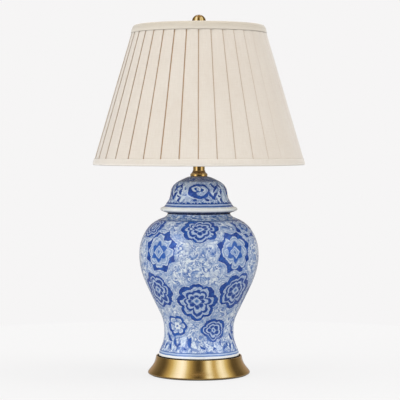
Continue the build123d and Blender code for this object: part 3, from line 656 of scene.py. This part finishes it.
def lid_finish(g, c, p0, phi, r, z0, fine, brush):
    brushyl = g.noise(p0, 0.05, 2.0, 0.5)
    c = leaves(g, c, p0, phi, r, z0, lin(224, 230, 240), 4, [(29, 350, 6.5, 4.2, 0), (43, 350, 6.0, 3.4, 30), (42, 340, 5.0, 3.4, -30), (-48, 343, 7.0, 4.4, 20), (-36, 358, 9.0, 3.4, 14), (-34, 341, 7.0, 3.6, 40), (52, 361, 5.0, 2.6, 20)], LID)
    c = leaves(g, c, p0, phi, r, z0, brush, 4, [(23.5, 347.5, 8.0, 2.8, -36), (35, 347.5, 8.0, 2.8, 40), (29, 342, 3.6, 3.4, 0), (31.5, 363.5, 7.0, 2.6, -35), (49, 364, 6.0, 2.1, -30), (50, 355, 6.5, 2.2, 30),
                                                (-53, 360, 11.5, 2.4, 48), (-41, 352.5, 4.6, 3.6, 30), (-43, 337, 5.5, 3.4, 0), (-58, 345, 7.5, 2.2, 4), (-8, 338, 4.6, 2.2, 72), (15, 338.5, 5.6, 2.4, -60), (44, 344.5, 4.0, 1.9, -62)], LID)
    z = g.mad(g.sub(g.noise(p0, 0.05, 1.0), 0.5), 0.8, z0)
    saw = g.math("SINE", g.add(g.mul(phi, 25.0), g.mul(brushyl, 9.0)))
    tooth = g.math("ABSOLUTE", saw)
    c = g.mix(g.mul(g.step(g.mad(tooth, -3.8, z), 331.5, 330.5), g.step(z, 331.0, 332.0)), c, g.mix(g.step(saw, -0.1, 0.1), lin(230, 235, 243), lin(96, 128, 186)))
    c = g.mix(g.step(z, 332.0, 331.2), c, lin(186, 200, 224))
    c = g.mix(g.mul(g.step(g.mad(tooth, -2.4, z), 331.4, 330.6), g.step(z, 329.2, 329.8)), c, lin(40, 76, 152))
    c = g.mix(g.mul(g.step(z, 327.3, 326.7), g.step(z, 324.0, 324.5)), c, lin(58, 92, 164))
    c = g.mix(g.step(z, 323.9, 323.4), c, lin(255, 248, 240))
    top = g.mul(g.step(z, 370.0, 374.5), g.step(fine, 0.66, 0.36, 0.35, 0.95))
    c = g.mix(top, c, lin(44, 68, 126))
    lines = g.mul(g.step(z, 371.0, 374.0), g.step(g.math("SINE", g.mul(z, 2 * math.pi / 2.3)), 0.2, 0.9, 0.0, 0.7))
    c = g.mix(lines, c, lin(20, 36, 86))
    # painted shade: the underside of the lip is painted dark navy
    c = g.mix(g.step(z0, 315.6, 315.1), c, lin(36, 46, 84))
    return c


def porcelain(name, flowers, profile, finish, curl, cell, dabs, curls, tint):
    m, g, b = material(name, ior=1.5)
    c, p0, phi, r, z, fine, brush = paint(g, flowers, profile, curl, cell, dabs, curls)
    c = g.mix(1.0, finish(g, c, p0, phi, r, z, fine, brush), tint, "MULTIPLY")
    g.put(b.inputs["Base Color"], c)
    # glaze: a slow swell, and a little duller where the paint lies thick
    swell = g.noise(p0, 0.035, 2.0, 0.5)
    g.put(b.inputs["Roughness"], g.map(g.noise(p0, 0.09, 3.0, 0.6), 0.3, 0.7, 0.22, 0.30))
    g.put(b.inputs["Normal"], g.bump(g.add(swell, g.mul(fine, 0.02)), 0.10, 0.004))
    return m


M_JAR = porcelain("porcelain_jar", FLOWERS, JAR, body_finish, 13.5, 0.056, 0.45, 0.80, (0.965, 0.995, 0.985, 1.0))
M_LID = porcelain("porcelain_lid", LID_FLOWERS, LID, lid_finish, 11.0, 0.070, 0.28, 0.45, (0.93, 1.01, 1.07, 1.0))

# ------------------------------------------------------------------ cloth
def cloth(name, base, crease, rough=0.85, painted_light_band=None):
    m, g, b = material(name, roughness=rough, sheen_weight=0.5, sheen_roughness=0.4, specular_ior_level=0.25)
    p = g.coords()
    phi, r, z = g.polar(p)
    arc = g.mul(phi, 165.0)
    warp = g.math("SINE", g.mul(arc, 2 * math.pi / 0.62))
    weft = g.math("SINE", g.mul(z, 2 * math.pi / 0.55))
    weave = g.mul(warp, weft)
    slub = g.noise(g.join(g.mul(arc, 0.9), 0.0, g.mul(z, 0.055)), 1.0, 3.0, 0.6)
    slub2 = g.noise(g.join(g.mul(arc, 0.05), 3.0, g.mul(z, 0.8)), 1.0, 3.0, 0.6)
    tone = g.noise(p, 0.012, 2.0, 0.5)
    c = g.mix(g.map(slub, 0.3, 0.7, 0.0, 0.10), base, crease)
    c = g.mix(g.map(slub2, 0.3, 0.7, 0.0, 0.08), c, crease)
    c = g.mix(g.map(tone, 0.3, 0.7, 0.0, 0.06), c, crease)
    if painted_light_band:
        # painted light: a band turned over a ring is painted lighter on its lower, downward-facing side
        low_, high_, painted_light_colour = painted_light_band
        c = g.mix(g.step(z, high_, low_), c, painted_light_colour)
    # painted shade: where the crease attribute is set, deep in the pleats' folds, the cloth is mixed towards the dark
    # warm crease colour
    a = g.node("ShaderNodeAttribute", attribute_name="crease")
    c = g.mix(g.mul(a.outputs["Fac"], 0.85), c, crease)
    g.put(b.inputs["Base Color"], c)
    h = g.add(g.mul(weave, 0.25), g.add(slub, slub2))
    g.put(b.inputs["Normal"], g.bump(h, 0.25, 0.0003))
    return m


# the second colour gives the slub tone, and on the cover also the painted shade in the pleats' folds
M_COVER = cloth("shade_cloth", lin(226, 219, 209), lin(156, 110, 44))
# painted shade: the top binding is the same cloth as the hem but given a darker colour, to tone down the light that its
# upward-facing side catches
M_TRIM = cloth("shade_binding", lin(199, 191, 177), lin(150, 122, 88), painted_light_band=(657.0, 669.0, lin(223, 214, 200)))
M_HEM = cloth("shade_hem_binding", lin(227, 220, 210), lin(150, 122, 88), painted_light_band=(404.5, 409.0, lin(250, 243, 233)))

SHADE_R1, SLOPE = 125.1, 0.2966


def shade_r(z):
    return SHADE_R1 + SLOPE * (672.0 - z)


def ring_mesh(rows, columns, closed_rows=False):
    """Quads over a grid of rows x columns vertices that is closed round the axis."""
    faces = []
    for j in range(rows - (0 if closed_rows else 1)):
        k = (j + 1) % rows
        for i in range(columns):
            n = (i + 1) % columns
            faces.append((j * columns + i, j * columns + n, k * columns + n, k * columns + i))
    return faces


def pleated_cover():
    """36 knife pleats of one strip of cloth: each panel runs out to a fold, back under itself, and on as the next panel."""
    count = 36
    z0, z1 = 409.4, 668.0
    levels = 26
    rows, crease = [], []
    for j in range(levels + 1):
        f = j / levels
        z = z0 + (z1 - z0) * f
        ro = shade_r(z)
        pitch = 2 * math.pi * ro / count
        under = (48.4 - pitch) / 2.0
        row, cr = [], []
        for k in range(count):
            wob = noise.noise(Vector((k * 3.7, z * 0.006, 1.0))) * 0.55 + noise.noise(Vector((k * 1.3, 9.0, 0.0))) * 0.35
            wob2 = noise.noise(Vector((k * 2.1, z * 0.008, 5.0)))
            here = (k * 360.0 / count + 180.0) % 360.0 - 180.0
            ajar = 0.55 * math.exp(-((here + 14.0) / 15.0) ** 2)
            rise_end = pitch - under - 1.5
            deep = -1.62 + 0.08 * wob2
            # the third number of each point is the painted fold shade it carries, 1 deep in the crevice
            path = [(0.10, -0.68, 0.12), (-0.45, -1.08, 0.6), (-under * 0.5, -1.10, 1.0), (-under + 0.5, -1.10, 1.0), (-under, -1.42, 1.0),
                    (-under + 0.5, deep, 1.0), (-under * 0.5, deep, 1.0), (-0.6, deep, 1.0), (0.5, deep + 0.02, 1.0), (1.10 + ajar, deep + 0.05, 0.80 + 0.2 * ajar),
                    (1.75 + ajar, deep + 0.10, 0.08), (3.0, deep + 0.16, 0.0)]
            for t in (0.25, 0.5, 0.75, 1.0):
                s = 3.0 + (rise_end - 3.0) * t
                e = t * t * (3 - 2 * t)
                path.append((s, deep + 0.16 + (-0.26 - deep - 0.16) * e + 0.10 * wob2 * math.sin(math.pi * t), 0.0))
            path += [(pitch - under * 0.5, -0.22, 0.0), (pitch - 1.4, -0.21, 0.0), (pitch - 0.35, -0.30, 0.05)]
            base = k * pitch
            # the fold lines at both ends of this stretch tremble together
            nxt = noise.noise(Vector(((k + 1) % count * 3.7, z * 0.006, 1.0))) * 0.55 + noise.noise(Vector(((k + 1) % count * 1.3, 9.0, 0.0))) * 0.35
            for s, off, c in path:
                t = min(max(s / pitch, 0.0), 1.0)
                s2 = base + s + wob * (1 - t) + nxt * t
                a = s2 / ro + math.radians(-0.6)
                row.append((a, ro + off))
                cr.append(c)
        rows.append([((r * math.sin(a)) * MM, (-r * math.cos(a)) * MM, z * MM) for a, r in row])
        crease += cr
    n = len(rows[0])
    verts = [v for row in rows for v in row]
    o = new_mesh("shade_cover_cloth", verts, ring_mesh(levels + 1, n), M_COVER, "shade", "shade_fabric", "shade_cover")
    # the crease attribute carries the painted shade in each fold
    at = o.data.attributes.new("crease", "FLOAT", "POINT")
    at.data.foreach_set("value", crease)
    s = o.modifiers.new("cloth", "SOLIDIFY")
    s.thickness = 0.36 * MM
    s.offset = 0.0
    return o


def resample(points, n, closed=True):
    """n points evenly along a smooth closed curve through the given ones."""
    pts = [Vector((a, b, 0)) for a, b in points]
    m = len(pts)
    dense = []
    for i in range(m):
        p0, p1, p2, p3 = pts[(i - 1) % m], pts[i], pts[(i + 1) % m], pts[(i + 2) % m]
        for k in range(12):
            t = k / 12
            dense.append(0.5 * ((2 * p1) + (-p0 + p2) * t + (2 * p0 - 5 * p1 + 4 * p2 - p3) * t * t + (-p0 + 3 * p1 - 3 * p2 + p3) * t ** 3))
    dense.append(dense[0])
    run = [0.0]
    for a, b in zip(dense, dense[1:]):
        run.append(run[-1] + (b - a).length)
    out, j = [], 0
    for i in range(n):
        d = run[-1] * i / n
        while run[j + 1] < d:
            j += 1
        t = (d - run[j]) / max(run[j + 1] - run[j], 1e-9)
        q = dense[j].lerp(dense[j + 1], t)
        out.append((q.x, q.y))
    return out


def binding(name, profile, replaced, seed, mat):
    """A bias-cut band turned over a ring: the profile goes round, with the pleats just showing through it."""
    prof = resample(profile, 44)
    seg = 504
    verts = []
    for k in range(len(prof)):
        r, z = prof[k]
        for i in range(seg):
            a = 2 * math.pi * i / seg
            pleat = math.fmod(a / (2 * math.pi) * 36 + 100.0, 1.0)
            ghost = 0.16 * (pleat - 0.5) * (1.0 if pleat < 0.93 else (1 - pleat) / 0.07)
            d = Vector((math.sin(a), -math.cos(a), 0.0))
            n = noise.noise(Vector((d.x * 9 + seed, d.y * 9, z * 0.11))) * 0.16 + noise.noise(Vector((d.x * 34, d.y * 34 + seed, z * 0.3))) * 0.07
            rr = r + ghost + n
            zz = z + noise.noise(Vector((d.x * 6, d.y * 6 + seed, 2.0))) * 0.18
            verts.append((rr * d.x * MM, rr * d.y * MM, zz * MM))
    return new_mesh(name, verts, ring_mesh(len(prof), seg, True), mat, "shade", "shade_binding", replaced)


cover = pleated_cover()
in_t, in_b = 118.98, 195.6
top_band = [(shade_r(656.0) + 0.12, 655.9), (130.05, 656.3), (130.1, 657.6), (129.75, 660.3), (129.0, 663.8), (127.6, 667.0), (125.2, 670.3), (121.8, 671.8), (119.2, 670.6),
            (118.2, 667.0), (118.2, 662.2), (118.9, 661.9), (119.1, 667.0), (121.0, 669.9), (124.0, 669.6), (126.6, 667.0), (128.2, 663.4), (129.2, 659.8), (shade_r(656.3) + 0.1, 656.4)]
bottom_band = [(shade_r(416.5) + 0.45, 416.6), (201.9, 414.6), (202.9, 411.3), (203.7, 408.2), (203.95, 405.9), (203.5, 404.6), (202.2, 403.9), (198.8, 403.7), (195.6, 404.6), (194.9, 406.6),
               (194.8, 413.4), (195.5, 413.6), (195.7, 407.2), (197.6, 405.2), (200.2, 404.9), (202.4, 405.9), (203.0, 408.4), (202.2, 411.6), (shade_r(416.5) + 0.1, 416.2)]
top_trim = binding("shade_top_binding", top_band, "shade_top_trim", 3.0, M_TRIM)
bottom_trim = binding("shade_bottom_binding", bottom_band, "shade_bottom_trim", 11.0, M_HEM)

# ------------------------------------------------------------------ plain parts
def plain(name, base, dark, rough, metallic=0.0, scale=0.4, bump=0.1, **more):
    m, g, b = material(name, metallic=metallic, **more)
    p = g.coords()
    n = g.noise(p, scale, 4.0, 0.6)
    n2 = g.noise(p, scale * 0.15, 2.0, 0.5)
    g.put(b.inputs["Base Color"], g.mix(g.map(n, 0.3, 0.7), base, dark))
    g.put(b.inputs["Roughness"], g.map(n2, 0.3, 0.7, rough - 0.06, rough + 0.06))
    g.put(b.inputs["Normal"], g.bump(n, bump, 0.0003))
    return m


M_FELT = plain("felt", lin(44, 62, 50), lin(30, 44, 36), 0.95, scale=1.6, bump=0.6)
M_BOARD = plain("hardboard", lin(150, 122, 88), lin(120, 92, 60), 0.8)
M_IRON = plain("cast_iron", lin(70, 70, 72), lin(44, 44, 46), 0.7, 0.6, 0.8, 0.5)
M_ZINC = plain("zinc_steel", lin(196, 196, 194), lin(160, 160, 156), 0.35, 1.0)
M_CORK = plain("soft_washer", lin(52, 48, 46), lin(34, 32, 30), 0.85, scale=1.0, bump=0.4)
# painted shade: the lid gasket is coloured dark navy for the shadow under the lid's lip
M_PAD = plain("lid_gasket_painted_shade", lin(34, 44, 80), lin(26, 36, 70), 0.5, scale=0.2)
M_BUSH = plain("bushing", lin(96, 72, 40), lin(76, 54, 28), 0.4)
M_BLACK = plain("phenolic", lin(30, 28, 27), lin(20, 19, 18), 0.32, scale=0.9)
M_CARD = plain("insulating_sleeve", lin(120, 112, 102), lin(98, 90, 80), 0.85)
M_NICKEL = plain("nickel", lin(206, 203, 196), lin(176, 172, 164), 0.25, 1.0)
M_WIRE = plain("painted_wire", lin(232, 228, 218), lin(214, 208, 196), 0.45)
M_LINER = plain("shade_lining", lin(240, 236, 226), lin(230, 225, 213), 0.6, scale=0.05)
M_BULB = plain("frosted_glass", lin(244, 243, 240), lin(236, 235, 231), 0.30, scale=0.05, bump=0.02, transmission_weight=0.25, ior=1.45)

for node, m in {
    "base_shell": M_BASE, "vase_cap": M_BRASS, "neck_tube": M_BRASS, "neck_cap": M_BRASS, "neck_nut": M_BRASS, "finial_base": M_FINIAL, "finial_ball": M_FINIAL,
    "harp_saddle": M_PLATE, "socket_cap": M_PLATE, "socket_shell": M_PLATE, "terminal_screws": M_PLATE, "socket_contact": M_PLATE,
    "harp": M_PLATE, "harp_stud": M_PLATE, "ferrule_left": M_PLATE, "ferrule_right": M_PLATE,
    "jar_body": M_JAR, "jar_lid": M_LID, "base_felt": M_FELT, "base_board": M_BOARD, "base_weight": M_IRON,
    "base_lock_washer": M_ZINC, "base_nut": M_ZINC, "lamp_pipe": M_ZINC, "socket_set_screw": M_ZINC, "switch_shaft": M_ZINC,
    "seat_gasket": M_CORK, "lid_gasket": M_PAD, "cord_bushing": M_BUSH, "switch_knob": M_BLACK, "socket_body": M_BLACK,
    "socket_insulator": M_CARD, "socket_screw_shell": M_NICKEL, "bulb_cap": M_NICKEL, "bulb_contact": M_NICKEL,
    "bulb_globe": M_BULB, "shade_liner": M_LINER, "shade_top_frame": M_WIRE, "shade_bottom_ring": M_WIRE,
}.items():
    dress(node, m)
